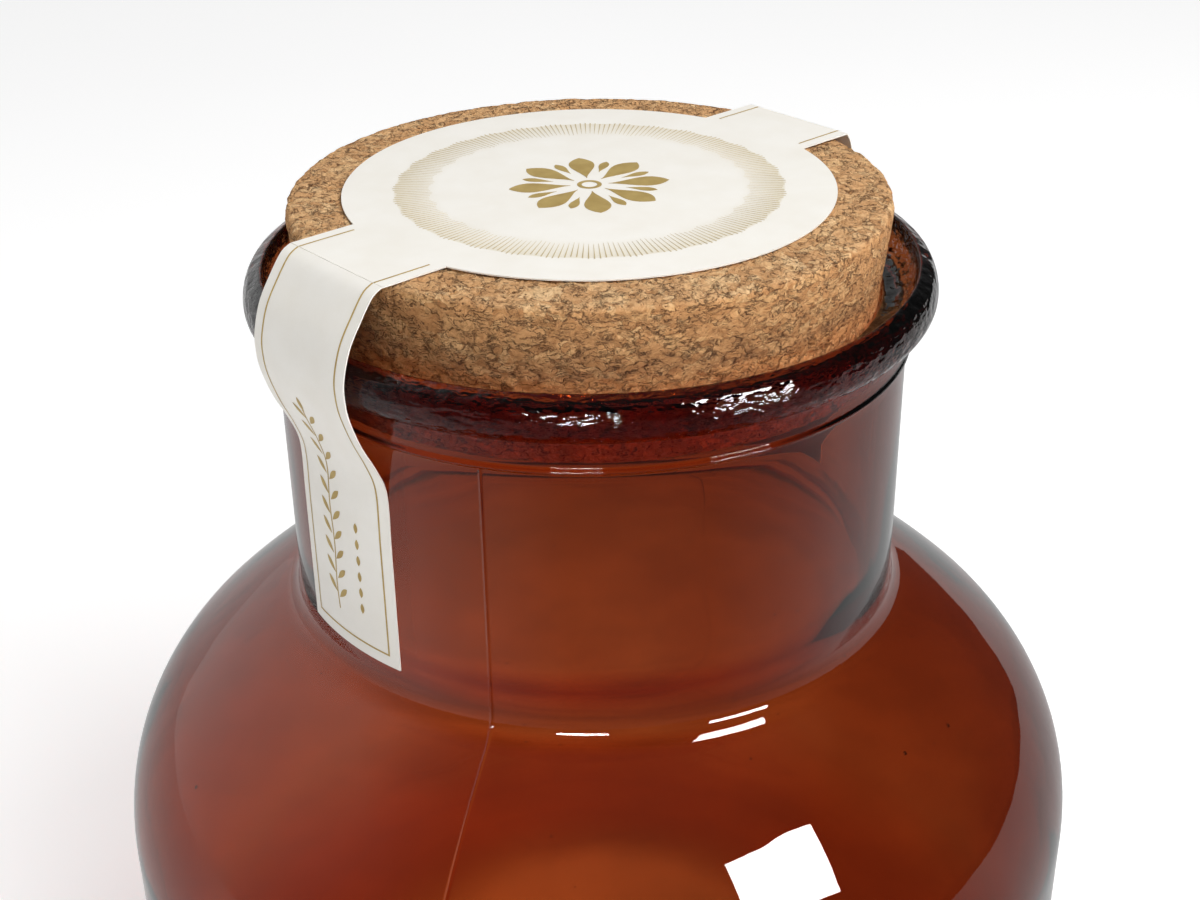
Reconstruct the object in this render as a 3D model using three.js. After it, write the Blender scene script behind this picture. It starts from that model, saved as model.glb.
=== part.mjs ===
// An apothecary jar of coloured glass with a tapered cork stopper and a paper seal.
// The seal is one die-cut strip with a round middle, slit at the stopper's edge on both
// sides, so that the stopper lifts out. Millimetres, +Z up, origin under the foot's middle.
import * as THREE from 'three';

// Heights of the whole object
const stopperTop = 220; // top face of the stopper above the table
const crestHeight = 207; // highest ring of the jar's rolled rim
const neckFoot = 138; // where the straight neck starts to flare into the shoulder

// Jar, outside
const neckRadius = 64;
const bandRadius = 64.5; // the slightly wider band between the rim and the mould step
const bandFoot = 191;
const bandTop = 195;
const crestRadius = 65.4;
const rimHalfWidth = 4.1; // the rim's outer half is an ellipse with these half axes
const rimHalfHeight = 5.6;
const flareRadius = 8; // hollow fillet from the neck to the shoulder
const flareTurn = THREE.MathUtils.degToRad(58);
const shoulderRadius = 150; // the shoulder's upper part is nearly a straight slope
const shoulderTurn = THREE.MathUtils.degToRad(46); // where the rounder lower part takes over
const bodyRadius = 106;
const footCornerRadius = 22;
const footRingWidth = 12;
const puntDepth = 3; // how far the middle of the underside is pushed up

// Jar, inside
const wall = 4.2;
const floorHeight = 7;
const lipRadius = 58.75; // narrowest ring of the mouth, which the stopper sits in
const lipTop = 204.3;
const lipFoot = 201.5;
const innerCornerRadius = 18;

// Stopper
const stopperRadius = 60;
const stopperLength = 31;
const stopperTaper = 0.1; // radius lost per millimetre of depth
const stopperEdge = 1;

// Paper seal
const paper = 0.4;
const paperGap = 0.3; // clearance to whatever the paper lies on
const sealDiscRadius = 48.7;
const tabWidth = 28.5;
const slitRadius = 60.35; // the knife cut runs just outside the stopper
const slitWidth = 0.3;
const tabDrop = 79; // the tabs end this far below the stopper's top

// Fineness of the round shapes
const turns = 48;

const glassFinish = new THREE.MeshStandardMaterial({
  color: 0x8a2a14, roughness: 0.06, metalness: 0, transparent: true, opacity: 0.6,
});
const corkFinish = new THREE.MeshStandardMaterial({
  color: 0xb98a58, roughness: 0.9, metalness: 0,
});
const paperFinish = new THREE.MeshStandardMaterial({
  color: 0xf2efe8, roughness: 0.45, metalness: 0,
});

// Points on an ellipse's arc, from one angle to another, ends included.
function arc(centreX, centreZ, radiusX, radiusZ, from, to, steps) {
  return Array.from({ length: steps + 1 }, (_, i) => {
    const angle = from + ((to - from) * i) / steps;
    return new THREE.Vector2(
      centreX + radiusX * Math.cos(angle),
      centreZ + radiusZ * Math.sin(angle),
    );
  });
}

// A body of revolution about Z from a profile of (radius, height) points.
function turned(profile) {
  const geometry = new THREE.LatheGeometry(profile, turns);
  geometry.rotateX(Math.PI / 2);
  return geometry;
}

function named(name, geometry, material) {
  const mesh = new THREE.Mesh(geometry, material);
  mesh.name = name;
  return mesh;
}

// The shoulder and flare of one face of the glass wall, from the widest ring up to the neck.
// inset is 0 on the outside and the wall's thickness on the inside. Three arcs meet smoothly:
// the round body, the long slope and the flare.
function shoulderLine(inset) {
  const flareCentre = neckRadius + flareRadius;
  const reach = flareRadius + shoulderRadius;
  const slopeX = flareCentre - reach * Math.cos(flareTurn);
  const slopeZ = neckFoot - reach * Math.sin(flareTurn);
  const meetingRadius = slopeX + shoulderRadius * Math.cos(shoulderTurn);
  const roundRadius = (bodyRadius - meetingRadius) / (1 - Math.cos(shoulderTurn));
  const roundX = bodyRadius - roundRadius;
  const roundZ = slopeZ + (shoulderRadius - roundRadius) * Math.sin(shoulderTurn);
  const round = roundRadius - inset;
  const slope = shoulderRadius - inset;
  const flare = flareRadius + inset;
  return [
    ...arc(roundX, roundZ, round, round, 0, shoulderTurn, 6),
    ...arc(slopeX, slopeZ, slope, slope, shoulderTurn, flareTurn, 3).slice(1),
    ...arc(flareCentre, neckFoot, flare, flare, Math.PI + flareTurn, Math.PI, 4).slice(1),
  ];
}

// Outside from the underside's middle up to the rim, then down the inside to the floor.
function makeGlassJar() {
  const quarter = Math.PI / 2;
  const outerShoulder = shoulderLine(0);
  const innerShoulder = shoulderLine(wall);
  const footRadius = bodyRadius - footCornerRadius;
  const innerRadius = bodyRadius - wall;
  const innerCorner = innerRadius - innerCornerRadius;
  const rimCentre = crestHeight - rimHalfHeight;
  const point = (x, z) => new THREE.Vector2(x, z);
  return turned([
    point(0, puntDepth),
    point(footRadius - footRingWidth - puntDepth, puntDepth),
    point(footRadius - footRingWidth, 0),
    ...arc(footRadius, footCornerRadius, footCornerRadius, footCornerRadius, -quarter, 0, 5),
    ...outerShoulder,
    point(neckRadius, bandFoot - paperGap),
    point(bandRadius, bandFoot),
    point(bandRadius, bandTop),
    ...arc(crestRadius, rimCentre, rimHalfWidth, rimHalfHeight, -quarter, quarter, 8),
    // the hollow cove from the crest down to the lip
    point((crestRadius + lipRadius) / 2, lipTop + (crestHeight - lipTop) * 0.4),
    point(lipRadius, lipTop),
    point(lipRadius, lipFoot),
    point(neckRadius - wall, bandFoot),
    ...innerShoulder.reverse(),
    ...arc(
      innerCorner, floorHeight + innerCornerRadius,
      innerCornerRadius, innerCornerRadius, 0, -quarter, 4,
    ),
    point(0, floorHeight),
  ]);
}

function makeStopper() {
  const radiusAt = (depth) => stopperRadius - stopperTaper * depth;
  const foot = stopperTop - stopperLength;
  const point = (x, z) => new THREE.Vector2(x, z);
  return turned([
    point(0, foot),
    point(radiusAt(stopperLength) - stopperEdge, foot),
    point(radiusAt(stopperLength - stopperEdge), foot + stopperEdge),
    point(radiusAt(stopperEdge), stopperTop - stopperEdge),
    point(stopperRadius - stopperEdge, stopperTop),
    point(0, stopperTop),
  ]);
}

// The round middle of the seal with the two short tab roots, flat on the stopper.
function makeSealDisc() {
  const half = tabWidth / 2;
  const swing = Math.asin(half / sealDiscRadius);
  const shape = new THREE.Shape();
  shape.moveTo(half, -slitRadius);
  shape.lineTo(half, -Math.cos(swing) * sealDiscRadius);
  shape.absarc(0, 0, sealDiscRadius, swing - Math.PI / 2, Math.PI / 2 - swing, false);
  shape.lineTo(half, slitRadius);
  shape.lineTo(-half, slitRadius);
  shape.absarc(0, 0, sealDiscRadius, Math.PI / 2 + swing, 1.5 * Math.PI - swing, false);
  shape.lineTo(-half, -slitRadius);
  const geometry = new THREE.ExtrudeGeometry(shape, {
    depth: paper, bevelEnabled: false, curveSegments: 24,
  });
  geometry.translate(0, 0, stopperTop + paperGap);
  return geometry;
}

// The middle line of a tab's thickness, as (distance from the axis, height): over the
// stopper's edge, free in the air to the rim, round it, back in and down the neck.
function tabLine() {
  const glued = neckRadius + paperGap + paper / 2;
  const top = paperGap + paper / 2;
  const bend = new THREE.SplineCurve([
    new THREE.Vector2(slitRadius + slitWidth, top),
    new THREE.Vector2(62.6, -0.8),
    new THREE.Vector2(65.2, -4.2),
    new THREE.Vector2(68.2, -9),
    new THREE.Vector2(69.9, -14.5),
    new THREE.Vector2(70.2, -18.5),
    new THREE.Vector2(69.6, -22.5),
    new THREE.Vector2(67.6, -28.5),
    new THREE.Vector2(65.7, -34),
    new THREE.Vector2(glued, -40.5),
  ]);
  const line = bend.getPoints(18);
  line.push(new THREE.Vector2(glued, (-40.5 - tabDrop) / 2), new THREE.Vector2(glued, -tabDrop));
  return line;
}

// A tab: its side outline extruded across its width, then wrapped round the neck where
// it is glued. turn is its direction about Z, 0 for the one at the front.
function makeSealTab(turn) {
  const line = tabLine();
  const normals = line.map((_, i) => {
    const before = line[Math.max(i - 1, 0)];
    const after = line[Math.min(i + 1, line.length - 1)];
    const along = after.clone().sub(before).normalize();
    return new THREE.Vector2(-along.y, along.x);
  });
  const side = (offset) => line.map((p, i) => p.clone().addScaledVector(normals[i], offset));
  const outline = [...side(paper / 2), ...side(-paper / 2).reverse()];
  const geometry = new THREE.ExtrudeGeometry(new THREE.Shape(outline), {
    depth: tabWidth, steps: 6, bevelEnabled: false,
  });
  const place = geometry.attributes.position;
  for (let i = 0; i < place.count; i += 1) {
    const reach = place.getX(i);
    const height = place.getY(i);
    const across = tabWidth / 2 - place.getZ(i);
    const wrapped = THREE.MathUtils.smoothstep(-height, 26, 40);
    const angle = across / reach;
    place.setXYZ(
      i,
      THREE.MathUtils.lerp(across, reach * Math.sin(angle), wrapped),
      -THREE.MathUtils.lerp(reach, reach * Math.cos(angle), wrapped),
      height + stopperTop,
    );
  }
  geometry.rotateZ(turn);
  return geometry;
}

const jar = new THREE.Group();
jar.add(named('glass_jar', makeGlassJar(), glassFinish));
jar.add(named('seal_tab_front', makeSealTab(0), paperFinish));
jar.add(named('seal_tab_rear', makeSealTab(Math.PI), paperFinish));

const lid = new THREE.Group();
lid.add(named('cork_stopper', makeStopper(), corkFinish));
lid.add(named('seal_disc', makeSealDisc(), paperFinish));

const group = new THREE.Group();
group.add(jar, lid);

export default group;
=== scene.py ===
"""The looks of a glass apothecary jar with a cork stopper and a slit paper seal.

Everything is in metres, in the frame of the CAD model: +Z up, the origin under the
middle of the foot, and the seal's front tab towards -Y. The sizes that the frame knows
are read from it, and the rest are named below in millimetres.
"""

import math
import random

import bmesh
import bpy
import numpy as np
from mathutils import Matrix, Quaternion, Vector, noise


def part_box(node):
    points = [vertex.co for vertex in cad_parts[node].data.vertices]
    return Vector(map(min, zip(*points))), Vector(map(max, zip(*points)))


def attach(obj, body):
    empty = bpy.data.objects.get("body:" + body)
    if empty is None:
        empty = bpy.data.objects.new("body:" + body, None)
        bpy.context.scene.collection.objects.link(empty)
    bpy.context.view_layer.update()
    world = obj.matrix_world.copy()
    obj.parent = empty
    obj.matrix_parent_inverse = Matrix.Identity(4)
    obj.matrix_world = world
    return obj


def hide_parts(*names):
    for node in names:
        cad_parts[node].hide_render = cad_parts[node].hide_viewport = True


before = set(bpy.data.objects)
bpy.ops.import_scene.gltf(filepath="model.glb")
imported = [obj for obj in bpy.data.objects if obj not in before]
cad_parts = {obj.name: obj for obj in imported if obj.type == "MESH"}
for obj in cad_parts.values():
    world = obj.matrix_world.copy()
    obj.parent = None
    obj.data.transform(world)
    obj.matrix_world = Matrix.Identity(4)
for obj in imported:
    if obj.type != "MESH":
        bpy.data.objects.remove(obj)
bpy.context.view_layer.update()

MM = 0.001


# ---------------------------------------------------------------- sizes, millimetres

def in_mm(node):
    """A node's box as two corners in millimetres."""
    low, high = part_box(node)
    return [value / MM for value in low], [value / MM for value in high]


JAR_HIGH = in_mm("glass_jar")[1]
CORK_LOW, CORK_HIGH = in_mm("cork_stopper")
DISC_HIGH = in_mm("seal_disc")[1]
TAB_LOW, TAB_HIGH = in_mm("seal_tab_front")

BODY_RADIUS = JAR_HIGH[0]
CREST = JAR_HIGH[2]
STOPPER_TOP = CORK_HIGH[2]
STOPPER_FOOT = CORK_LOW[2]
STOPPER_RADIUS = 60.0
STOPPER_TAPER = 0.1  # radius lost per millimetre of depth
SEAL_RADIUS = DISC_HIGH[0]
SLIT_RADIUS = DISC_HIGH[1]
TAB_WIDTH = TAB_HIGH[0] - TAB_LOW[0]
TAB_FOOT = TAB_LOW[2]

# the jar's outside, from the neck down
NECK_RADIUS = 64.0
NECK_FOOT = 138.0  # where the neck starts to flare into the shoulder
FLARE_RADIUS = 8.0
FLARE_TURN = math.radians(58)
SHOULDER_RADIUS = 150.0
SHOULDER_TURN = math.radians(46)
FOOT_CORNER = 22.0
FOOT_RING = 12.0
PUNT_DEPTH = 3.0
PUNT_SLOPE = 26.0

# the rim: an upright oval with a flatter lower half, a band below it and a ledge on top
BAND_RADIUS = 64.5
BAND_FOOT = 191.0
BAND_TOP = 196.8
CREST_RADIUS = 65.4
RIM_HALF_WIDTH = 4.1
RIM_HALF_HEIGHT = 5.6
BEAD_DROP = 3.8
LEDGE_TURN = math.radians(48)
LEDGE_INNER = 65.6
# the fine ridge under the band, as (out from the band, up from its foot)
MOULD_RIDGE = ((-0.5, -6.0), (-0.5, -0.9), (0.4, -0.3), (0.4, 0.1), (-0.1, 0.8))

# the jar's inside: a hollow cove leads down to the lip
WALL = 4.2
FLOOR_HEIGHT = 7.0
INNER_CORNER = 18.0
COVE_TOP = (65.2, CREST - 0.8)
COVE_FOOT = (59.65, CREST - 6.2)
LIP_RADIUS = 58.55
LIP_TOP = 200.7
LIP_FOOT = 198.5

PAPER = 0.25
PAPER_GAP = 0.12
EDGE_LIFT = 0.12  # how much the paper stands up where it was slit
SLIT_WIDTH = 0.15
PRINT_LIFT = 0.03
RING_INNER = 30.8
RING_OUTER = 37.7
QUARTER = math.pi / 2

# studio: directions are turns from the camera's side, positive to its right
VIEW_AZIMUTH = math.radians(48.74)
DARK_END = math.radians(15)
BRIGHT_END = math.radians(-128)
FLOOR_GLOW = 0.40  # of the floor itself, as the camera sees it
NEAR_GLOW = 0.66  # of the floor seen through the glass, under the jar
FAR_GLOW = 0.38  # and away from it
AMBIENT = 0.56


# ---------------------------------------------------------------- meshes

def arc(centre, radii, start, end, steps):
    """Points of an ellipse's arc, ends included."""
    turns = np.linspace(start, end, steps + 1)
    return [
        (centre[0] + radii[0] * math.cos(t), centre[1] + radii[1] * math.sin(t))
        for t in turns
    ]


def refined(points, step):
    """The same outline with no stretch longer than step."""
    line = [points[0]]
    for before, after in zip(points, points[1:]):
        length = math.dist(before, after)
        pieces = max(1, math.ceil(length / step))
        for i in range(1, pieces + 1):
            share = i / pieces
            line.append(tuple(b + (a - b) * share for b, a in zip(before, after)))
    return line


def softened(points, corners, radius, steps=4):
    """The outline with the corners at these indices rounded off."""
    line = []
    for i, here in enumerate(points):
        if i not in corners:
            line.append(here)
            continue
        here_v = Vector(here)
        to_before = Vector(points[i - 1]) - here_v
        to_after = Vector(points[i + 1]) - here_v
        start = here_v + to_before.normalized() * min(radius, to_before.length * 0.45)
        end = here_v + to_after.normalized() * min(radius, to_after.length * 0.45)
        for k in range(steps + 1):
            t = k / steps
            bend = start * (1 - t) ** 2 + here_v * 2 * t * (1 - t) + end * t**2
            line.append((bend.x, bend.y))
    return line


def turned(profile, angles):
    """Vertices and faces of a body of revolution whose profile starts and ends on the axis."""
    rings = profile[1:-1]
    verts = [(0.0, 0.0, profile[0][1])]
    for radius, height in rings:
        verts += [(radius * math.cos(a), radius * math.sin(a), height) for a in angles]
    verts.append((0.0, 0.0, profile[-1][1]))
    n = len(angles)
    last = len(verts) - 1
    faces = []
    for j in range(n):
        k = (j + 1) % n
        faces.append((0, 1 + k, 1 + j))
        faces.append((last, last - n + j, last - n + k))
    for i in range(len(rings) - 1):
        low = 1 + i * n
        high = low + n
        for j in range(n):
            k = (j + 1) % n
            faces.append((low + j, low + k, high + k, high + j))
    return verts, faces


def make_piece(name, verts, faces, material, smooth=True):
    """A mesh object from points in millimetres."""
    mesh = bpy.data.meshes.new(name)
    mesh.from_pydata([(x * MM, y * MM, z * MM) for x, y, z in verts], [], faces)
    mesh.validate()
    if smooth:
        mesh.polygons.foreach_set("use_smooth", [True] * len(mesh.polygons))
    mesh.materials.append(material)
    mesh.update()
    piece = bpy.data.objects.new(name, mesh)
    bpy.context.scene.collection.objects.link(piece)
    return piece


def turn_faces_outward(piece):
    """Makes every closed part of the mesh face outwards, whichever way it was wound."""
    shape = bmesh.new()
    shape.from_mesh(piece.data)
    bmesh.ops.recalc_face_normals(shape, faces=shape.faces)
    shape.to_mesh(piece.data)
    shape.free()


# ---------------------------------------------------------------- materials

class Shader:
    """The node tree of a material or a world, with short ways to add and join nodes."""

    def __init__(self, owner, output="ShaderNodeOutputMaterial"):
        self.owner = owner
        self.owner.use_nodes = True
        self.tree = self.owner.node_tree
        self.tree.nodes.clear()
        self.output = self.tree.nodes.new(output)

    def add(self, kind, settings=None, **inputs):
        """A new node. settings are its own properties, inputs its sockets by name."""
        node = self.tree.nodes.new("ShaderNode" + kind)
        for key, value in (settings or {}).items():
            setattr(node, key, value)
        for key, value in inputs.items():
            self.feed(node.inputs[key.replace("_", " ")], value)
        return node

    def feed(self, socket, value):
        if isinstance(value, bpy.types.NodeSocket):
            self.tree.links.new(value, socket)
        elif isinstance(value, bpy.types.Node):
            self.tree.links.new(value.outputs[0], socket)
        else:
            socket.default_value = value

    def math(self, operation, first, second=0.0):
        node = self.tree.nodes.new("ShaderNodeMath")
        node.operation = operation
        self.feed(node.inputs[0], first)
        self.feed(node.inputs[1], second)
        return node.outputs[0]

    def vector(self, operation, first, second=(0.0, 0.0, 0.0), scale=None):
        node = self.tree.nodes.new("ShaderNodeVectorMath")
        node.operation = operation
        self.feed(node.inputs[0], first)
        if scale is None:
            self.feed(node.inputs[1], second)
        else:
            self.feed(node.inputs["Scale"], scale)
        return node.outputs[0]

    def spread(self, value, low, high, new_low=0.0, new_high=1.0):
        """value moved from one range to another, and kept in it."""
        node = self.tree.nodes.new("ShaderNodeMapRange")
        self.feed(node.inputs["Value"], value)
        for key, number in zip(
            ("From Min", "From Max", "To Min", "To Max"), (low, high, new_low, new_high)
        ):
            self.feed(node.inputs[key], number)
        return node.outputs[0]

    def mix(self, share, first, second, blend="MIX"):
        node = self.tree.nodes.new("ShaderNodeMix")
        node.data_type = "RGBA"
        node.blend_type = blend
        self.feed(node.inputs["Factor"], share)
        self.feed(node.inputs[6], first)
        self.feed(node.inputs[7], second)
        return node.outputs[2]

    def blend(self, share, first, second):
        """A number between two others."""
        node = self.tree.nodes.new("ShaderNodeMix")
        self.feed(node.inputs[0], share)
        self.feed(node.inputs[2], first)
        self.feed(node.inputs[3], second)
        return node.outputs[0]

    def places(self):
        """Object coordinates in millimetres."""
        coordinates = self.add("TexCoord").outputs["Object"]
        return self.vector("SCALE", coordinates, scale=1 / MM)

    def noise(self, vector, scale, detail=3.0, roughness=0.5):
        return self.add(
            "TexNoise", Vector=vector, Scale=scale, Detail=detail, Roughness=roughness
        ).outputs["Fac"]

    def voronoi(self, vector, scale, feature="F1"):
        return self.add("TexVoronoi", {"feature": feature}, Vector=vector, Scale=scale)

    def bump(self, height, strength, distance=MM, under=None):
        node = self.add("Bump", Height=height, Strength=strength, Distance=distance)
        if under is not None:
            self.feed(node.inputs["Normal"], under)
        return node.outputs[0]

    def finish(self, surface, volume=None):
        self.feed(self.output.inputs["Surface"], surface)
        if volume is not None:
            self.feed(self.output.inputs["Volume"], volume)
        return self.owner


def rgb(red, green, blue):
    """A linear colour from 0 to 255 display values."""
    def linear(value):
        share = value / 255
        return share / 12.92 if share <= 0.04045 else ((share + 0.055) / 1.055) ** 2.4
    return (linear(red), linear(green), linear(blue), 1.0)


def glass_material():
    """Amber-red glass, coloured by its thickness, with a fire-polished but uneven rim."""
    s = Shader(bpy.data.materials.new("amber_glass"))
    place = s.places()
    height = s.add("SeparateXYZ", Vector=place).outputs["Z"]
    on_rim = s.spread(height, BAND_FOOT + 2.0, BAND_FOOT + 7.0)
    peel = s.noise(s.vector("MULTIPLY", place, (0.6, 0.6, 1.7)), 0.55, 0.0, 0.5)
    grit = s.noise(s.vector("MULTIPLY", place, (0.7, 0.7, 1.6)), 1.3, 0.0, 0.5)
    waves = s.noise(s.vector("MULTIPLY", place, (1.0, 1.0, 0.35)), 0.06, 2.0, 0.4)
    lumps = s.math("ADD", peel, s.math("MULTIPLY", grit, 0.32))
    relief = s.math("MULTIPLY", lumps, on_rim)
    wavy = s.bump(waves, 0.25, 0.5 * MM)
    normal = s.bump(relief, 0.9, 0.36 * MM, wavy)
    haze = s.spread(s.noise(place, 0.08, 4.0, 0.6), 0.35, 0.75, 0.004, 0.016)
    glass = s.add(
        "BsdfPrincipled",
        Base_Color=(1.0, 1.0, 1.0, 1.0),
        Roughness=haze,
        IOR=1.52,
        Transmission_Weight=1.0,
        Normal=normal,
    )
    # lamps shine through the glass, on to what lies inside and behind it
    through = s.add("BsdfTransparent", Color=(0.75, 0.75, 0.75, 1.0))
    lamps = s.add("LightPath").outputs["Is Shadow Ray"]
    surface = s.add("MixShader", Fac=lamps)
    s.feed(surface.inputs[1], glass)
    s.feed(surface.inputs[2], through)
    tint = s.add("VolumeAbsorption", Color=(0.795, 0.445, 0.11, 1.0), Density=600.0)
    return s.finish(surface, tint)


def cork_material():
    """Pressed cork chips, each with its own tone and grain, with pits and thin dark cracks."""
    s = Shader(bpy.data.materials.new("pressed_cork"))
    place = s.places()
    wander = s.add("TexNoise", Vector=place, Scale=0.45, Detail=4.0).outputs["Color"]
    bent = s.vector("ADD", place, s.vector("SCALE", wander, scale=2.4))
    flat = s.vector("MULTIPLY", bent, (1.0, 1.0, 1.9))
    big = s.voronoi(flat, 0.20)
    small = s.voronoi(flat, 0.50)
    big_edge = s.voronoi(flat, 0.20, "DISTANCE_TO_EDGE").outputs["Distance"]
    small_edge = s.voronoi(flat, 0.50, "DISTANCE_TO_EDGE").outputs["Distance"]
    which = s.spread(s.noise(place, 0.16, 2.0), 0.47, 0.53)
    big_tone = s.add("SeparateColor", Color=big.outputs["Color"]).outputs[0]
    small_tone = s.add("SeparateColor", Color=small.outputs["Color"]).outputs[0]
    tone = s.blend(which, big_tone, small_tone)
    edge = s.blend(which, big_edge, s.math("MULTIPLY", small_edge, 1.5))

    # each chip's own grain runs its own way
    turn = s.vector("SCALE", big.outputs["Color"], scale=2 * math.pi)
    own = s.add("VectorRotate", {"rotation_type": "EULER_XYZ"}, Vector=bent, Rotation=turn)
    streaks = s.noise(s.vector("MULTIPLY", own, (0.3, 1.0, 2.4)), 1.1, 5.0, 0.65)
    lying = s.vector("MULTIPLY", bent, (1.0, 1.0, 2.3))
    pores = s.noise(lying, 0.65, 6.0, 0.68)
    crack_noise = s.noise(s.vector("MULTIPLY", lying, (0.75, 0.75, 1.0)), 0.45, 5.0, 0.6)
    off_crack = s.math("ABSOLUTE", s.math("SUBTRACT", crack_noise, 0.5))
    crack = s.spread(off_crack, 0.0, 0.026, 1.0, 0.0)
    crack = s.math("MULTIPLY", crack, s.spread(s.noise(place, 0.35, 3.0), 0.42, 0.54))
    pits = s.voronoi(s.vector("MULTIPLY", lying, (0.8, 0.8, 1.2)), 0.85)
    pit = s.spread(pits.outputs["Distance"], 0.10, 0.26, 1.0, 0.0)
    chance = s.add("SeparateColor", Color=pits.outputs["Color"]).outputs[1]
    pit = s.math("MULTIPLY", pit, s.spread(chance, 0.62, 0.72))

    ramp = s.add("ValToRGB", Fac=tone)
    stops = ramp.color_ramp.elements
    stops[0].position, stops[0].color = 0.0, rgb(200, 152, 104)
    stops[1].position, stops[1].color = 1.0, rgb(242, 204, 154)
    for position, colour in (
        (0.12, rgb(212, 164, 113)), (0.55, rgb(224, 178, 127)), (0.85, rgb(233, 192, 140)),
    ):
        stops.new(position).color = colour
    grain = s.spread(streaks, 0.40, 0.66, 0.0, 0.65)
    grained = s.mix(grain, ramp.outputs[0], rgb(180, 128, 80))
    porous = s.mix(s.spread(pores, 0.33, 0.47, 0.65, 0.0), grained, rgb(132, 88, 50))
    gap = s.spread(edge, 0.0, 0.07, 0.9, 0.0)
    patchy = s.math("MULTIPLY", gap, s.spread(s.noise(place, 0.75, 3.0), 0.44, 0.60))
    gapped = s.mix(patchy, porous, rgb(98, 60, 31))
    cracked = s.mix(s.math("MULTIPLY", crack, 0.75), gapped, rgb(84, 49, 24))
    colour = s.mix(s.math("MULTIPLY", pit, 0.8), cracked, rgb(88, 52, 26))

    # painted shade: the side is a little darker than the top, as if less light fell on it
    height = s.add("SeparateXYZ", Vector=place).outputs["Z"]
    shaded_side = s.spread(height, STOPPER_TOP - 1.2, STOPPER_TOP - 0.3, 1.0, 0.0)
    colour = s.mix(s.math("MULTIPLY", shaded_side, 0.8), colour, rgb(238, 222, 200), "MULTIPLY")

    sunk = s.math("MAXIMUM", s.math("MAXIMUM", crack, pit), patchy)
    porosity = s.math("SUBTRACT", s.math("MULTIPLY", pores, 1.1), s.math("MULTIPLY", sunk, 0.9))
    relief = s.math("ADD", porosity, s.math("MULTIPLY", streaks, 0.35))
    normal = s.bump(relief, 1.0, 0.42 * MM)
    roughness = s.spread(streaks, 0.3, 0.7, 0.74, 0.92)
    cork = s.add("BsdfPrincipled", Base_Color=colour, Roughness=roughness, Normal=normal)
    cork.inputs["Specular IOR Level"].default_value = 0.25
    return s.finish(cork)


def paper_material():
    """Coated white paper with a satin face and a faint fibre."""
    s = Shader(bpy.data.materials.new("seal_paper"))
    place = s.places()
    fibre = s.noise(s.vector("MULTIPLY", place, (1.0, 2.6, 2.6)), 1.6, 5.0, 0.65)
    cloud = s.noise(place, 0.12, 3.0, 0.5)
    tone = s.mix(s.spread(cloud, 0.3, 0.7), rgb(244, 240, 231), rgb(248, 245, 238))
    level = s.vector("MULTIPLY", place, (1.0, 1.0, 0.0))
    reach = s.add("VectorMath", {"operation": "LENGTH"}, Vector=level).outputs["Value"]
    # a pale tint under the ring of rays, strongest at its outer edge
    rising = s.spread(reach, RING_INNER - 0.8, RING_OUTER + 0.3)
    ending = s.spread(reach, RING_OUTER + 0.9, RING_OUTER + 0.5)
    halftone = s.math("MULTIPLY", rising, ending)
    dotted = s.math("MULTIPLY", halftone, s.spread(s.noise(place, 3.0, 1.0), 0.3, 0.7, 0.3, 0.5))
    printed = s.mix(dotted, tone, rgb(216, 200, 160))
    colour = s.mix(s.spread(fibre, 0.25, 0.8, 0.10, 0.0), printed, rgb(222, 214, 200))
    soft = s.bump(cloud, 0.15, 0.4 * MM)
    normal = s.bump(fibre, 0.10, 0.05 * MM, soft)
    roughness = s.spread(fibre, 0.3, 0.7, 0.34, 0.48)
    paper = s.add("BsdfPrincipled", Base_Color=colour, Roughness=roughness, Normal=normal)
    return s.finish(paper)


def gold_material(name, dark, light):
    """Matt gold ink, a little uneven where it soaked in."""
    s = Shader(bpy.data.materials.new(name))
    place = s.places()
    grain = s.noise(place, 2.2, 3.0, 0.6)
    cloud = s.noise(place, 0.3, 2.0, 0.5)
    tone = s.mix(s.spread(cloud, 0.3, 0.7), dark, light)
    colour = s.mix(s.spread(grain, 0.45, 0.8, 0.0, 0.35), tone, rgb(214, 190, 128))
    normal = s.bump(grain, 0.12, 0.05 * MM)
    gold = s.add(
        "BsdfPrincipled",
        Base_Color=colour,
        Roughness=s.spread(grain, 0.3, 0.7, 0.32, 0.5),
        Normal=normal,
    )
    gold.inputs["Metallic"].default_value = 0.25
    return s.finish(gold)


def facing(s, direction, turn):
    """The cosine between this level direction and one at a turn from the camera's side."""
    level = s.vector("NORMALIZE", s.vector("MULTIPLY", direction, (1.0, 1.0, 0.0)))
    along = s.add("VectorMath", {"operation": "DOT_PRODUCT"})
    s.feed(along.inputs[0], level)
    s.feed(along.inputs[1], (math.sin(VIEW_AZIMUTH + turn), -math.cos(VIEW_AZIMUTH + turn), 0.0))
    return along.outputs["Value"]


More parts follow.
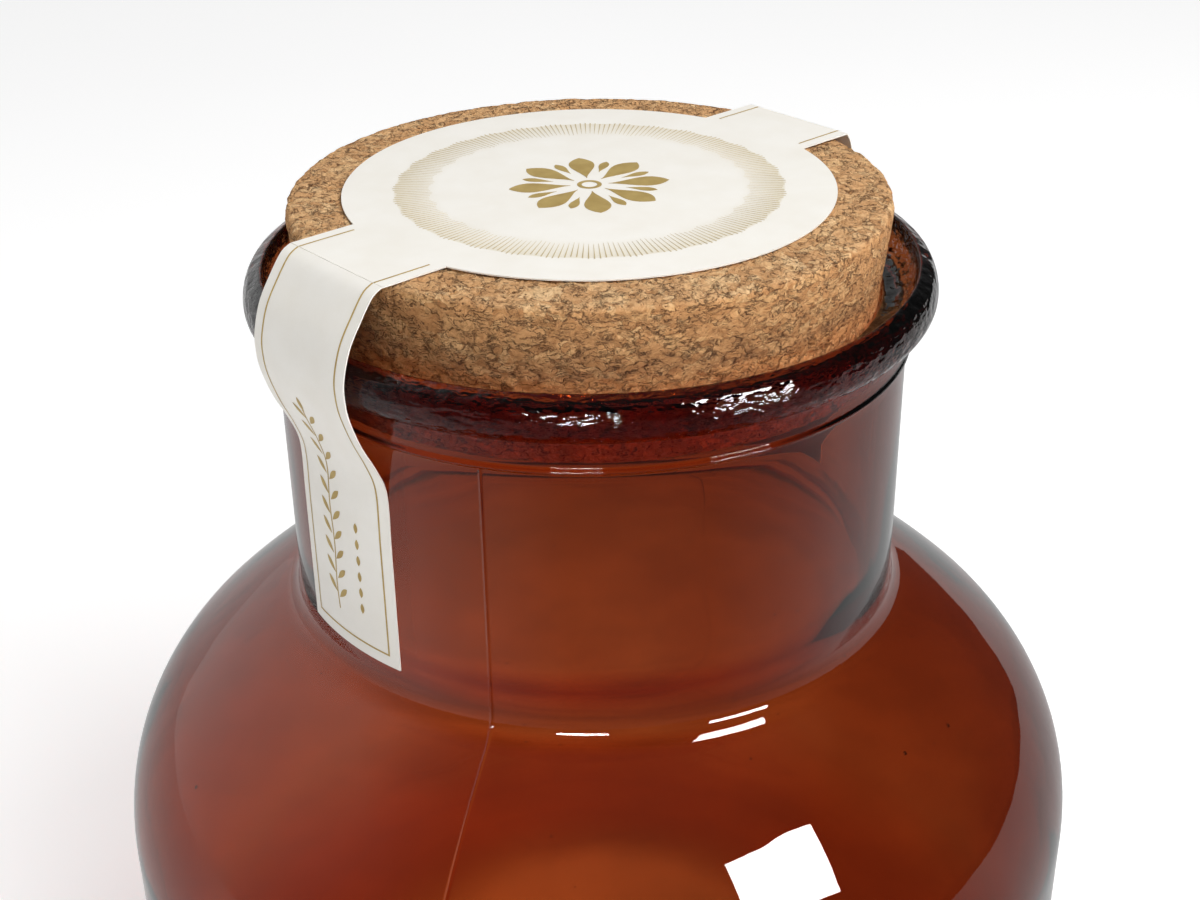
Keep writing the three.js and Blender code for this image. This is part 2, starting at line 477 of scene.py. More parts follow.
def floor_material():
    """A white table, which each kind of ray sees in its own way.

    The glass lets its glow through, most under the jar and to the rear left. Reflections
    see it dark on the camera's side. The camera sees it as plain matt white.
    """
    s = Shader(bpy.data.materials.new("studio_floor"))
    place = s.add("TexCoord").outputs["Object"]
    paths = s.add("LightPath").outputs
    tone = s.mix(s.noise(place, 3.0, 2.0), rgb(244, 244, 244), rgb(248, 248, 248))
    matt = s.add("BsdfDiffuse", Color=tone)
    glow = s.add("Emission", Color=(1.0, 1.0, 1.0, 1.0), Strength=FLOOR_GLOW)
    plain = s.add("AddShader")
    s.feed(plain.inputs[0], matt)
    s.feed(plain.inputs[1], glow)
    reach = s.add("VectorMath", {"operation": "LENGTH"}, Vector=place).outputs["Value"]
    near = s.spread(reach, 0.10, 0.26, NEAR_GLOW, FAR_GLOW)
    patches = s.spread(s.noise(place, 26.0, 2.0, 0.5), 0.35, 0.65, 0.88, 1.12)
    sided = s.spread(facing(s, place, BRIGHT_END), -1.0, 1.0, 0.72, 1.30)
    glow_seen = s.math("MULTIPLY", near, s.math("MULTIPLY", patches, sided))
    lit = s.add("Emission", Color=(1.0, 1.0, 1.0, 1.0), Strength=glow_seen)
    bright = s.spread(facing(s, place, DARK_END), 0.92, 0.25, 0.13, 0.60)
    mirrored = s.add("Emission", Color=(1.0, 1.0, 1.0, 1.0), Strength=bright)
    reflected = s.add("MixShader", Fac=paths["Is Glossy Ray"])
    s.feed(reflected.inputs[1], plain)
    s.feed(reflected.inputs[2], mirrored)
    # a ray that left rough glass counts as glossy too, so this choice comes last
    seen = s.add("MixShader", Fac=paths["Is Transmission Ray"])
    s.feed(seen.inputs[1], reflected)
    s.feed(seen.inputs[2], lit)
    return s.finish(seen)


# ---------------------------------------------------------------- glass jar

SEAM_AZIMUTHS = (math.radians(120.5), math.radians(300.5))
SEAM_SIZE = 0.24  # both its height and its half width
OUTER_WAVE = 0.10
INNER_WAVE = 0.42
INNER_RIPPLE = 0.12
NECK_GATHER = 1.1  # how much thicker the wall is in the hollow at the neck's foot
GATHER_REACH = 4.0
OUTER_STEP = 3.2  # the longest stretch of the outside's mesh
INNER_STEP = 3.6
EVEN_TURNS = 240
SEEDS = 150


def shoulder_line(inset):
    """From the widest ring up to the neck, on the outside or inset by the wall.

    Three arcs meet smoothly: the round body, the long slope and the hollow flare.
    """
    flare_x = NECK_RADIUS + FLARE_RADIUS
    reach = FLARE_RADIUS + SHOULDER_RADIUS
    slope_x = flare_x - reach * math.cos(FLARE_TURN)
    slope_z = NECK_FOOT - reach * math.sin(FLARE_TURN)
    meeting = slope_x + SHOULDER_RADIUS * math.cos(SHOULDER_TURN)
    round_radius = (BODY_RADIUS - meeting) / (1 - math.cos(SHOULDER_TURN))
    round_x = BODY_RADIUS - round_radius
    round_z = slope_z + (SHOULDER_RADIUS - round_radius) * math.sin(SHOULDER_TURN)
    body = round_radius - inset
    slope = SHOULDER_RADIUS - inset
    flare = FLARE_RADIUS + inset
    line = arc((round_x, round_z), (body, body), 0, SHOULDER_TURN, 22)
    line += arc((slope_x, slope_z), (slope, slope), SHOULDER_TURN, FLARE_TURN, 12)[1:]
    line += arc((flare_x, NECK_FOOT), (flare, flare), math.pi + FLARE_TURN, math.pi, 12)[1:]
    return line


def outer_profile():
    """The outside, from the underside's middle to the crest of the rim."""
    foot = BODY_RADIUS - FOOT_CORNER
    underside = [(0.0, PUNT_DEPTH)]
    for share in np.linspace(0, 1, 13):
        rise = PUNT_DEPTH * (1 - share * share * (3 - 2 * share))
        underside.append((foot - FOOT_RING - PUNT_SLOPE * (1 - share), rise))
    underside.append((foot, 0.0))
    corner = arc((foot, FOOT_CORNER), (FOOT_CORNER, FOOT_CORNER), -QUARTER, 0, 14)
    rim_centre = (CREST_RADIUS, CREST - RIM_HALF_HEIGHT)
    bead = arc(rim_centre, (RIM_HALF_WIDTH, BEAD_DROP), -QUARTER, 0, 12)
    bead += arc(rim_centre, (RIM_HALF_WIDTH, RIM_HALF_HEIGHT), 0, LEDGE_TURN, 12)[1:]
    ledge = [bead[-2], bead[-1], (LEDGE_INNER, CREST), COVE_TOP]
    rim = bead[:-2] + softened(ledge, (1, 2), 0.9)[:-1]
    band = [(BAND_RADIUS + out, BAND_FOOT + up) for out, up in MOULD_RIDGE]
    band += [(BAND_RADIUS, BAND_TOP), rim[0]]
    band = softened(band, range(1, len(band) - 1), 0.3, 3)[:-1]
    return underside[:-1] + corner + shoulder_line(0) + band + rim


def inner_profile():
    """The inside, from the crest down to the floor's middle."""
    body = BODY_RADIUS - WALL
    corner = arc(
        (body - INNER_CORNER, FLOOR_HEIGHT + INNER_CORNER),
        (INNER_CORNER, INNER_CORNER), 0, -QUARTER, 12,
    )
    # the hollow cove from the crest's inner edge down to the lip, then the lip's round nose
    cove_radii = (COVE_TOP[0] - COVE_FOOT[0], COVE_TOP[1] - COVE_FOOT[1])
    hollow = arc((COVE_FOOT[0], COVE_TOP[1]), cove_radii, 0, -QUARTER, 14)
    nose = [
        hollow[-1], (LIP_RADIUS, LIP_TOP), (LIP_RADIUS, LIP_FOOT),
        (NECK_RADIUS - WALL, BAND_FOOT),
    ]
    lip = softened(nose, (1, 2), 0.8)
    return hollow + lip[1:] + shoulder_line(WALL)[::-1] + corner + [(0.0, FLOOR_HEIGHT)]


def jar_angles():
    """Even steps round the jar, with close ones across the two mould seams."""
    even = list(np.linspace(0, 2 * math.pi, EVEN_TURNS, endpoint=False))
    close = [
        seam + math.radians(0.12) * k for seam in SEAM_AZIMUTHS for k in range(-6, 7)
    ]
    turns = [
        a for a in even
        if all(abs(a - seam) > math.radians(1.2) for seam in SEAM_AZIMUTHS)
    ]
    return sorted(turns + close)


def wave(point, scale, seed):
    """Smooth noise from -1 to 1 at this point in millimetres."""
    return noise.noise(Vector(point) * scale + Vector((seed, seed * 0.7, -seed)))


def shaped_jar(verts, outer_count, per_ring):
    """Bows the walls a little, thickens the neck's foot and raises the mould seams."""
    shaped = []
    for index, (x, y, z) in enumerate(verts):
        radius = math.hypot(x, y)
        if radius < 1e-6:
            shaped.append((x, y, z))
            continue
        azimuth = math.atan2(y, x) % (2 * math.pi)
        outside = index <= outer_count * per_ring
        below_band = min(max((BAND_FOOT - 2.0 - z) / 30.0, 0.0), 1.0)
        above_foot = min(max((z - 2.0) / 20.0, 0.0), 1.0)
        if outside:
            push = OUTER_WAVE * wave((x, y, z * 0.6), 0.028, 3.0) * below_band * above_foot
            seam_off = min(abs(azimuth - seam) for seam in SEAM_AZIMUTHS) * radius
            along_seam = 1.0 if 6.0 < z < BAND_FOOT - 0.6 else 0.0
            push += SEAM_SIZE * math.exp(-((seam_off / SEAM_SIZE) ** 2)) * along_seam
        else:
            push = INNER_WAVE * wave((x, y, z * 0.5), 0.030, 11.0) * below_band
            push += INNER_RIPPLE * wave((x, y, z * 0.7), 0.085, 17.0) * below_band
            push -= NECK_GATHER * math.exp(-(((z - NECK_FOOT - 0.5) / GATHER_REACH) ** 2))
        factor = (radius + push) / radius
        shaped.append((x * factor, y * factor, z))
    return shaped


def ball(centre, radius):
    """A small hollow in the glass: a ball whose faces point inwards."""
    rows, columns = 5, 8
    verts = [(centre[0], centre[1], centre[2] - radius)]
    for i in range(1, rows):
        tilt = math.pi * i / rows - QUARTER
        for j in range(columns):
            turn = 2 * math.pi * j / columns
            verts.append((
                centre[0] + radius * math.cos(tilt) * math.cos(turn),
                centre[1] + radius * math.cos(tilt) * math.sin(turn),
                centre[2] + radius * math.sin(tilt),
            ))
    verts.append((centre[0], centre[1], centre[2] + radius))
    last = len(verts) - 1
    faces = []
    for j in range(columns):
        k = (j + 1) % columns
        faces.append((0, 1 + j, 1 + k))
        faces.append((last, last - columns + k, last - columns + j))
        for i in range(rows - 2):
            low = 1 + i * columns
            high = low + columns
            faces.append((low + j, high + j, high + k, low + k))
    return verts, faces


def seeds_in_wall(count, chance):
    """Places and sizes of the seeds, the small bubbles of recycled glass."""
    line = [p for p in refined(outer_profile(), 2.0) if 20.0 < p[1] < BAND_FOOT - 3.0]
    seeds = []
    for _ in range(count):
        i = chance.randrange(1, len(line) - 1)
        along = Vector(line[i + 1]) - Vector(line[i - 1])
        inward = Vector((-along.y, along.x)).normalized()
        radius, height = Vector(line[i]) + inward * WALL * chance.uniform(0.25, 0.7)
        turn = chance.uniform(0, 2 * math.pi)
        size = chance.uniform(0.10, 0.26) if chance.random() < 0.9 else 0.42
        seeds.append(((radius * math.cos(turn), radius * math.sin(turn), height), size))
    return seeds


def make_jar(material):
    outer = refined(outer_profile(), OUTER_STEP)
    inner = refined(inner_profile(), INNER_STEP)
    angles = jar_angles()
    verts, faces = turned(outer + inner, angles)
    verts = shaped_jar(verts, len(outer) - 1, len(angles))
    for centre, size in seeds_in_wall(SEEDS, random.Random(5)):
        hollow_verts, hollow_faces = ball(centre, size)
        start = len(verts)
        verts += hollow_verts
        faces += [tuple(start + i for i in face) for face in hollow_faces]
    piece = make_piece("jar_glass", verts, faces, material)
    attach(piece, "jar")
    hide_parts("glass_jar")
    return piece


# ---------------------------------------------------------------- cork stopper

GRANULE = 4.2
CORK_EDGE = 2.2
CORK_STEP = 0.75
CORK_TURNS = 460


def cork_profile():
    """From the foot's middle out and up to the top, with the two edges worn round."""
    length = STOPPER_TOP - STOPPER_FOOT
    foot_radius = STOPPER_RADIUS - STOPPER_TAPER * length
    corners = [
        (0.0, STOPPER_FOOT),
        (foot_radius, STOPPER_FOOT),
        (STOPPER_RADIUS, STOPPER_TOP),
        (SEAL_RADIUS - 4.0, STOPPER_TOP),
    ]
    close = refined(softened(corners, (1, 2), CORK_EDGE, 5), CORK_STEP)
    # the middle of the top lies under the paper
    return close + [(SEAL_RADIUS * share, STOPPER_TOP) for share in (0.7, 0.4, 0.15, 0.0)]


def granule_relief(point):
    """How far the cork's surface stands out here: proud granules, sunken joints."""
    here = Vector(point)
    drift = noise.noise_vector(here * 0.3) * 1.4
    distances, centres = noise.voronoi((here + drift) / GRANULE)
    own = noise.noise(centres[0] * 7.3)
    joint = max(0.0, 1.0 - (distances[1] - distances[0]) / 0.22)
    fine = noise.fractal(here * 0.55, 0.8, 2.0, 3)
    return 0.26 * own - 0.45 * joint**2 + 0.26 * fine


def make_cork(material):
    angles = np.linspace(0, 2 * math.pi, CORK_TURNS, endpoint=False)
    profile = cork_profile()
    verts, faces = turned(profile, angles)
    middle = (STOPPER_TOP + STOPPER_FOOT) / 2
    # without a fixed seed the granules would drift in a new way on each run
    noise.seed_set(5)
    shaped = []
    for x, y, z in verts:
        radius = math.hypot(x, y)
        if z > STOPPER_TOP - 0.01 and radius < SEAL_RADIUS - 1.0:
            shaped.append((x, y, z))
            continue
        # the relief only ever goes inwards, so that the stopper keeps to its size
        depth = min(granule_relief((x, y, z)) - 0.10, 0.0)
        side = STOPPER_RADIUS - STOPPER_TAPER * (STOPPER_TOP - z)
        if radius > side - 1.2:
            outward = Vector((x / radius, y / radius, 0.0))
        else:
            outward = Vector((0.0, 0.0, 1.0 if z > middle else -1.0))
        shaped.append(tuple(Vector((x, y, z)) + outward * depth))
    piece = make_piece("cork_body", shaped, faces, material)
    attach(piece, "lid")
    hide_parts("cork_stopper")
    return piece


# ---------------------------------------------------------------- paper seal

def outline_radius(turn):
    """How far the seal's middle and its two tab roots reach in this direction."""
    away = abs(((turn - QUARTER) % math.pi + QUARTER) % math.pi - QUARTER)
    half = TAB_WIDTH / 2
    if away < math.atan2(half, SLIT_RADIUS):
        return SLIT_RADIUS / math.cos(away)
    if away < math.asin(half / SEAL_RADIUS):
        return half / math.sin(away)
    return SEAL_RADIUS


def outline_angles():
    """Even steps round the seal, with the corners of its outline hit exactly."""
    half = TAB_WIDTH / 2
    corner = math.atan2(half, SLIT_RADIUS)
    notch = math.asin(half / SEAL_RADIUS)
    turns = list(np.linspace(0, 2 * math.pi, 360, endpoint=False))
    for middle in (QUARTER, 3 * QUARTER):
        for sign in (-1, 1):
            turns += [middle + sign * corner, middle + sign * notch]
    return sorted(turns)


def top_height(x, y):
    """How high the paper's underside lies above the stopper at this place."""
    reach = math.hypot(x, y)
    edge = min(max((reach - 36.0) / 16.0, 0.0), 1.0)
    ripple = 0.5 + 0.5 * noise.noise(Vector((x * 0.05, y * 0.05, 4.0)))
    return PAPER_GAP + 0.16 * edge * ripple


def on_top(x, y, lift):
    """A point this far above the paper on the stopper."""
    return (x, y, STOPPER_TOP + top_height(x, y) + PAPER + lift)


def make_seal_top(material):
    turns = outline_angles()
    shares = [0.0, 0.2, 0.4, 0.55, 0.68, 0.78, 0.86, 0.92, 0.96, 1.0]
    upper = []
    lower = []
    for share in shares[1:]:
        for turn in turns:
            reach = outline_radius(turn) * share
            x, y = reach * math.cos(turn), reach * math.sin(turn)
            upper.append(on_top(x, y, 0.0))
            lower.append(on_top(x, y, -PAPER))
    n = len(turns)
    rows = len(shares) - 1
    verts = [on_top(0, 0, 0.0)] + upper + [on_top(0, 0, -PAPER)] + lower
    under = 1 + len(upper)
    faces = []
    for j in range(n):
        k = (j + 1) % n
        faces.append((0, 1 + j, 1 + k))
        faces.append((under, under + 1 + k, under + 1 + j))
        for i in range(rows - 1):
            a, b = 1 + i * n, 1 + (i + 1) * n
            faces.append((a + j, b + j, b + k, a + k))
            faces.append((under + a + j, under + a + k, under + b + k, under + b + j))
        rim = 1 + (rows - 1) * n
        faces.append((rim + j, under + rim + j, under + rim + k, rim + k))
    piece = make_piece("seal_paper_top", verts, faces, material, smooth=False)
    turn_faces_outward(piece)
    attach(piece, "lid")
    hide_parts("seal_disc")
    return piece


# a tab's middle line, as (distance from the axis, height above the stopper's top)
GLUED_RADIUS = NECK_RADIUS + PAPER_GAP + PAPER / 2
TAB_START = (SLIT_RADIUS + SLIT_WIDTH, PAPER_GAP + PAPER / 2 + EDGE_LIFT)
TAB_END = [(GLUED_RADIUS, -40.5), (GLUED_RADIUS, -52.0), (GLUED_RADIUS, TAB_FOOT - STOPPER_TOP)]
# the front tab stands off in a round bow, and the rear one is pressed closer to the cork
FRONT_BEND = [
    TAB_START, (62.6, -0.8), (65.2, -4.2), (68.2, -9.0), (69.9, -14.5), (70.1, -18.5),
    (69.5, -22.5), (67.5, -28.5), (65.6, -34.0), *TAB_END,
]
REAR_BEND = [
    TAB_START, (61.7, -1.4), (63.0, -5.0), (66.2, -9.6), (69.4, -14.4), (70.1, -18.5),
    (69.5, -22.5), (67.5, -28.5), (65.6, -34.0), *TAB_END,
]


def smooth_line(points, steps):
    """A Catmull-Rom curve through these points."""
    line = []
    count = len(points)
    for i in range(count - 1):
        corners = [Vector(points[min(max(i + k, 0), count - 1)]) for k in (-1, 0, 1, 2)]
        p0, p1, p2, p3 = corners
        for k in range(steps):
            t = k / steps
            line.append(0.5 * (
                2 * p1 + (p2 - p0) * t + (2 * p0 - 5 * p1 + 4 * p2 - p3) * t**2
                + (3 * p1 - p0 - 3 * p2 + p3) * t**3
            ))
    line.append(Vector(points[-1]))
    return line


class TabPath:
    """Where the points of one tab's paper lie, by the way along it and across it."""

    def __init__(self, turn, bend):
        self.turn = turn
        self.line = smooth_line(bend, 12)
        steps = [(b - a).length for a, b in zip(self.line, self.line[1:])]
        self.ways = np.concatenate([[0.0], np.cumsum(steps)])
        self.length = float(self.ways[-1])

    def middle(self, way):
        """(reach, height) on the middle line, and the outward normal there."""
        way = min(max(way, 0.0), self.length)
        i = min(int(np.searchsorted(self.ways, way, side="right")) - 1, len(self.line) - 2)
        share = (way - self.ways[i]) / (self.ways[i + 1] - self.ways[i])
        here = self.line[i].lerp(self.line[i + 1], share)
        before = self.line[max(i - 1, 0)]
        after = self.line[min(i + 2, len(self.line) - 1)]
        along = (after - before).normalized()
        return here, Vector((-along.y, along.x))

    def point(self, way, across, lift):
        """A point lift above the paper's middle layer."""
        here, normal = self.middle(way)
        free = math.sin(min(way / 42.0, 1.0) * math.pi)
        curl = 0.25 * free * noise.noise(Vector((across * 0.08, way * 0.06, self.turn)))
        spot = here + normal * (lift + curl)
        wrapped = min(max((-here.y - 26.0) / 14.0, 0.0), 1.0)
        wrapped = wrapped * wrapped * (3 - 2 * wrapped)
        angle = across / spot.x
        x = across + (spot.x * math.sin(angle) - across) * wrapped
        y = -(spot.x + (spot.x * math.cos(angle) - spot.x) * wrapped)
        z = spot.y + STOPPER_TOP
        c, s = math.cos(self.turn), math.sin(self.turn)
        return (x * c - y * s, x * s + y * c, z)


def slab(rows):
    """Closed faces for rows of points given as (upper points, lower points) lists."""
    n = len(rows[0][0])
    m = len(rows)
    verts = [p for upper, _ in rows for p in upper] + [p for _, lower in rows for p in lower]
    under = n * m
    faces = []
    for i in range(m - 1):
        for j in range(n - 1):
            a, b, c, d = i * n + j, i * n + j + 1, (i + 1) * n + j + 1, (i + 1) * n + j
            faces.append((a, d, c, b))
            faces.append((under + a, under + b, under + c, under + d))
    for i in range(m - 1):
        left, right = i * n, i * n + n - 1
        faces.append((left, under + left, under + left + n, left + n))
        faces.append((right, right + n, under + right + n, under + right))
    for j in range(n - 1):
        first, last = j, (m - 1) * n + j
        faces.append((first, first + 1, under + first + 1, under + first))
        faces.append((last, under + last, under + last + 1, last + 1))
    return verts, faces


def make_seal_tab(name, node, path, material):
    ways = np.linspace(0.0, path.length, 130)
    places = np.linspace(-TAB_WIDTH / 2, TAB_WIDTH / 2, 25)
    rows = [
        (
            [path.point(way, across, PAPER / 2) for across in places],
            [path.point(way, across, -PAPER / 2) for across in places],
        )
        for way in ways
    ]
    verts, faces = slab(rows)
    piece = make_piece(name, verts, faces, material)
    turn_faces_outward(piece)
    piece.data.set_sharp_from_angle(angle=math.radians(50))
    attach(piece, "jar")
    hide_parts(node)
    return piece


# ---------------------------------------------------------------- gold print

RULE_WIDTH = 0.38
RULE_INSET = 2.6
INK = 0.02
RAYS = 224
SCALLOPS = 32
PETALS = 8
SPRIG_START = 31.0  # along the tab from the slit
BEADS_START = 55.0


class Print:
    """Thin raised ink on a surface. place(u, v, lift) gives a point on that surface."""

    def __init__(self, place):
        self.place = place
        self.verts = []
        self.faces = []

    def strip(self, left, right):
        """A ribbon between two lines of (u, v) points, as thick as the ink."""
        start = len(self.verts)
        n = len(left)
        for lift in (PRINT_LIFT + INK, PRINT_LIFT):
            for side in (left, right):
                self.verts += [self.place(u, v, lift) for u, v in side]
        tl, tr, bl, br = start, start + n, start + 2 * n, start + 3 * n
        for i in range(n - 1):
            self.faces.append((tl + i, tl + i + 1, tr + i + 1, tr + i))
            self.faces.append((bl + i, br + i, br + i + 1, bl + i + 1))
            self.faces.append((tl + i, bl + i, bl + i + 1, tl + i + 1))
            self.faces.append((tr + i, tr + i + 1, br + i + 1, br + i))
        e = n - 1
        self.faces.append((tl, tr, br, bl))
        self.faces.append((tl + e, bl + e, br + e, tr + e))

    def line(self, points, width):
        """A ribbon of even width along (u, v) points, closed or open, with mitred bends."""
        spots = [Vector(p) for p in points]
        left, right = [], []
        for i, here in enumerate(spots):
            before = (here - spots[i - 1]).normalized() if i else None
            after = (spots[i + 1] - here).normalized() if i + 1 < len(spots) else None
            before = before or after
            after = after or before
            along = (before + after).normalized()
            across = Vector((-along.y, along.x))
            reach = width / 2 / max(across.dot(Vector((-after.y, after.x))), 0.3)
            left.append(tuple(here + across * reach))
            right.append(tuple(here - across * reach))
        self.strip(left, right)

    def petal(self, root, tip, width, steps=10, blunt=0.6):
        """A teardrop from its root to its tip, widest past the middle."""
        root, tip = Vector(root), Vector(tip)
        along = tip - root
        across = Vector((-along.y, along.x)).normalized()
        left, right = [], []
        for k in range(steps + 1):
            t = k / steps
            bulge = math.sin(math.pi * t ** (1 / blunt)) ** 0.8 if 0 < t < 1 else 0.0
            half = width / 2 * max(bulge, 0.02)
            left.append(tuple(root + along * t + across * half))
            right.append(tuple(root + along * t - across * half))
        self.strip(left, right)

    def piece(self, name, body, material):
        made = make_piece(name, self.verts, self.faces, material, smooth=False)
        turn_faces_outward(made)
        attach(made, body)
        return made


def even_steps(start, end, count):
    return [start + (end - start) * i / count for i in range(count + 1)]


def top_print():
    """Ink on the seal's round middle, where u and v are x and y."""
    return Print(on_top)


def make_gold_ring(material):
    """A band of fine rays that swell towards a scalloped outside."""
    ink = top_print()
    for i in range(RAYS):
        turn = 2 * math.pi * i / RAYS
        lobe = abs(math.sin(SCALLOPS / 2 * turn + 0.3))
        outer = RING_OUTER + 1.2 * lobe
        inner = RING_INNER + 1.0 * lobe
        direction = Vector((math.cos(turn), math.sin(turn)))
        across = Vector((-direction.y, direction.x))
        left, right = [], []
        for k in range(5):
            reach = inner + (outer - inner) * k / 4
            half = 0.02 + 0.10 * (k / 4)
            left.append(tuple(direction * reach + across * half))
            right.append(tuple(direction * reach - across * half))
        ink.strip(left, right)
    return ink.piece("gold_ring", "lid", material)


def make_gold_rosette(material):
    """A plain rosette: long and short petals in turn round a small ring."""
    ink = top_print()
    for i in range(PETALS):
        turn = 2 * math.pi * (i + 0.25) / PETALS
        direction = Vector((math.cos(turn), math.sin(turn)))
        ink.petal(direction * 3.8, direction * 16.0, 5.2, steps=16)
        turn += math.pi / PETALS
        direction = Vector((math.cos(turn), math.sin(turn)))
        ink.petal(direction * 7.4, direction * 13.8, 2.0, steps=12)
    circle = [
        (2.0 * math.cos(t), 2.0 * math.sin(t)) for t in even_steps(0, 2 * math.pi, 40)
    ]
    ink.line(circle, 0.9)
    return ink.piece("gold_rosette", "lid", material)


def make_top_rules(material):
    """The ends of the tabs' border lines, on the two roots."""
    ink = top_print()
    side = TAB_WIDTH / 2 - RULE_INSET
    for end in (-1, 1):
        for hand in (-1, 1):
            points = [
                (hand * side, end * reach) for reach in even_steps(48.2, SLIT_RADIUS, 8)
            ]
            ink.line(points, RULE_WIDTH)
    return ink.piece("gold_rules_top", "lid", material)


def make_sprig(ink, first, last):
    """A plain leafy stem down the tab, with a pair of leaves at each step."""
    middle, pitch = -2.9, 4.4
    stem = [(way, middle + 0.25 * math.sin(way / 3.0)) for way in even_steps(first, last, 60)]
    ink.line(stem, 0.32)
    count = int((last - first) / pitch)
    for i in range(count):
        way = first + pitch * (i + 0.6)
        for hand in (-1, 1):
            root = (way + 0.5 * hand, middle + 0.35 * hand)
            tip = (way - 2.9 + 0.5 * hand, middle + 3.1 * hand)
            ink.petal(root, tip, 1.25, steps=8, blunt=0.8)
    ink.petal((first + 0.4, middle), (first - 3.4, middle), 1.3, steps=8, blunt=0.8)


def make_beads(ink, first, last):
    """A row of small lozenges beside the stem."""
    beside, pitch = 4.9, 3.6
    for i in range(int((last - first) / pitch) + 1):
        way = first + pitch * i
        ink.petal((way - 1.15, beside), (way + 1.15, beside), 1.1, steps=6, blunt=1.0)


def make_tab_print(name, path, material):
    """The border round a tab and the ornament that stands between its lines."""
    ink = Print(lambda way, across, lift: path.point(way, across, PAPER / 2 + lift))
    side = TAB_WIDTH / 2 - RULE_INSET
    end = path.length - RULE_INSET
    down = [(way, -side) for way in even_steps(0.0, end, 110)]
    over = [(end, across) for across in even_steps(-side, side, 20)]
    up = [(way, side) for way in even_steps(end, 0.0, 110)]
    ink.line(down + over[1:] + up[1:], RULE_WIDTH)
    make_sprig(ink, SPRIG_START, end - 4.5)
    make_beads(ink, BEADS_START, end - 5.0)
    return ink.piece(name, "jar", material)


# ---------------------------------------------------------------- studio

VIEW_REACH = 334.9  # from the jar's axis, level
VIEW_HEIGHT = 120.6  # above the stopper's top
VIEW_PITCH = math.radians(28.23)
VIEW_HEADING = math.radians(48.5)
VIEW_ROLL = math.radians(-0.75)
LENS = 53.43
FLOOR_SIZE = 8.0
LIT_HEIGHT = 150.0  # of the point that the lights face


def make_camera():
    data = bpy.data.cameras.new("camera")
    data.lens = LENS
    data.sensor_width = 36.0
    data.clip_start = 0.01
    camera = bpy.data.objects.new("camera", data)
    bpy.context.scene.collection.objects.link(camera)
    forward = Vector((
        -math.sin(VIEW_HEADING) * math.cos(VIEW_PITCH),
        math.cos(VIEW_HEADING) * math.cos(VIEW_PITCH),
        -math.sin(VIEW_PITCH),
    ))
    level = Vector((math.cos(VIEW_HEADING), math.sin(VIEW_HEADING), 0.0))
    upright = level.cross(forward)
    right = level * math.cos(VIEW_ROLL) + upright * math.sin(VIEW_ROLL)
    up = upright * math.cos(VIEW_ROLL) - level * math.sin(VIEW_ROLL)
    turn = Matrix((right, up, -forward)).transposed().to_4x4()
    place = Vector((
        VIEW_REACH * math.sin(VIEW_AZIMUTH),
        -VIEW_REACH * math.cos(VIEW_AZIMUTH),
        STOPPER_TOP + VIEW_HEIGHT,
    )) * MM
    camera.matrix_world = Matrix.Translation(place) @ turn
    bpy.context.scene.camera = camera


def soft_light(name, azimuth, elevation, distance, size, power, seen_by, roll=0.0):
    """A softbox that faces the jar. Angles are in degrees, azimuth to the camera's right.

    seen_by is the one kind of ray that meets it, diffuse or glossy.
    """
    data = bpy.data.lights.new(name, "AREA")
    data.shape = "RECTANGLE"
    data.size, data.size_y = size
    data.energy = power
    light = bpy.data.objects.new(name, data)
    bpy.context.scene.collection.objects.link(light)
    light.visible_diffuse = seen_by == "diffuse"
    light.visible_glossy = seen_by == "glossy"
    light.visible_transmission = False
    turn = VIEW_AZIMUTH + math.radians(azimuth)
    tilt = math.radians(elevation)
    target = Vector((0, 0, LIT_HEIGHT * MM))
    away = Vector((
        math.sin(turn) * math.cos(tilt), -math.cos(turn) * math.cos(tilt), math.sin(tilt)
    ))
    light.location = target + away * distance
    facing_jar = (-away).to_track_quat("-Z", "Y")
    light.rotation_euler = (facing_jar @ Quaternion((0, 0, 1), math.radians(roll))).to_euler()
    return light


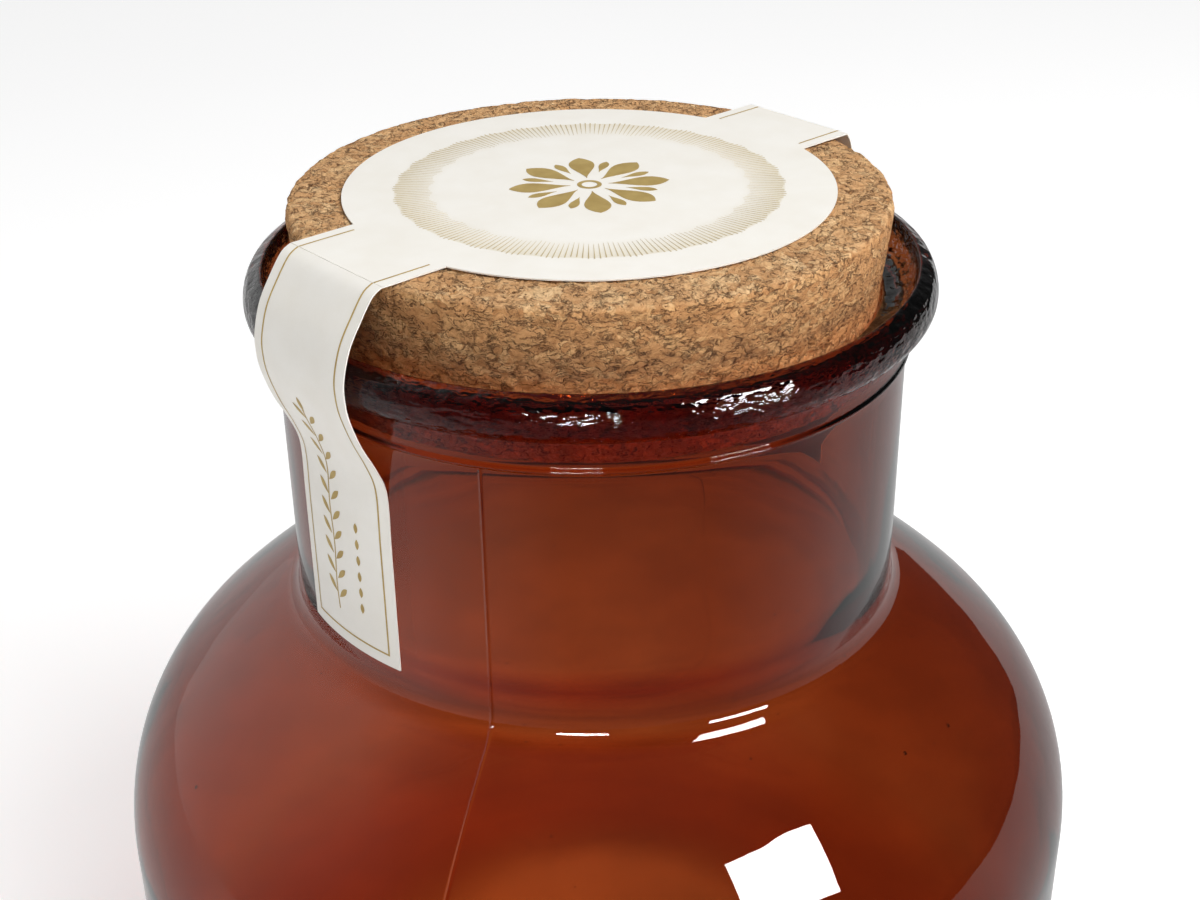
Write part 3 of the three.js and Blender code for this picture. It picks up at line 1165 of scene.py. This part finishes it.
def make_world():
    """White behind the object and through the glass, and softer as a light on matt things.

    Reflections see it bright to the rear left only, and dim overhead.
    """
    s = Shader(bpy.data.worlds.new("studio"), "ShaderNodeOutputWorld")
    direction = s.add("TexCoord").outputs["Generated"]
    paths = s.add("LightPath").outputs
    height = s.add("SeparateXYZ", Vector=direction).outputs["Z"]
    lobe = s.math("POWER", s.spread(facing(s, direction, BRIGHT_END), -0.1, 1.0), 2.5)
    side = s.spread(lobe, 0.0, 1.0, 0.05, 1.05)
    ceiling = s.spread(height, 0.70, 0.95, 0.0, 1.0)
    reflection = s.blend(ceiling, side, 0.12)
    straight = s.math("MAXIMUM", paths["Is Camera Ray"], paths["Is Transmission Ray"])
    unseen = s.blend(paths["Is Glossy Ray"], AMBIENT, reflection)
    strength = s.blend(straight, unseen, 1.0)
    bpy.context.scene.world = s.finish(s.add("Background", Strength=strength))


def make_studio():
    bpy.ops.mesh.primitive_plane_add(size=FLOOR_SIZE, location=(0, 0, 0))
    floor = bpy.context.active_object
    floor.name = "floor"
    floor.data.materials.append(floor_material())
    make_world()
    soft_light(
        "key", azimuth=50, elevation=50, distance=1.0, size=(0.6, 0.6), power=8.6,
        seen_by="diffuse",
    )
    # the other three only make the highlights on the glass
    soft_light(
        "window", azimuth=51.6, elevation=40.5, distance=1.31, size=(0.46, 0.33), power=16.0,
        seen_by="glossy", roll=-15.5,
    )
    soft_light(
        "strip_front", azimuth=-5, elevation=10, distance=1.2, size=(0.34, 0.10), power=5.0,
        seen_by="glossy",
    )
    soft_light(
        "strip_right", azimuth=48, elevation=10, distance=1.2, size=(0.44, 0.11), power=6.4,
        seen_by="glossy",
    )
    view = bpy.context.scene.view_settings
    view.view_transform = "Standard"
    view.look = "None"
    view.exposure = 0.0


# ---------------------------------------------------------------- the scene

def build():
    make_camera()
    glass = glass_material()
    cork = cork_material()
    paper = paper_material()
    gold = gold_material("gold_ink", rgb(178, 148, 78), rgb(196, 168, 98))
    pale_gold = gold_material("pale_gold_ink", rgb(200, 180, 132), rgb(212, 194, 150))
    make_jar(glass)
    make_cork(cork)
    make_seal_top(paper)
    make_gold_ring(pale_gold)
    make_gold_rosette(gold)
    make_top_rules(gold)
    for side, turn, bend in (("front", 0.0, FRONT_BEND), ("rear", math.pi, REAR_BEND)):
        path = TabPath(turn, bend)
        make_seal_tab(f"seal_paper_{side}", f"seal_tab_{side}", path, paper)
        make_tab_print(f"gold_rules_{side}", path, gold)
    make_studio()


build()
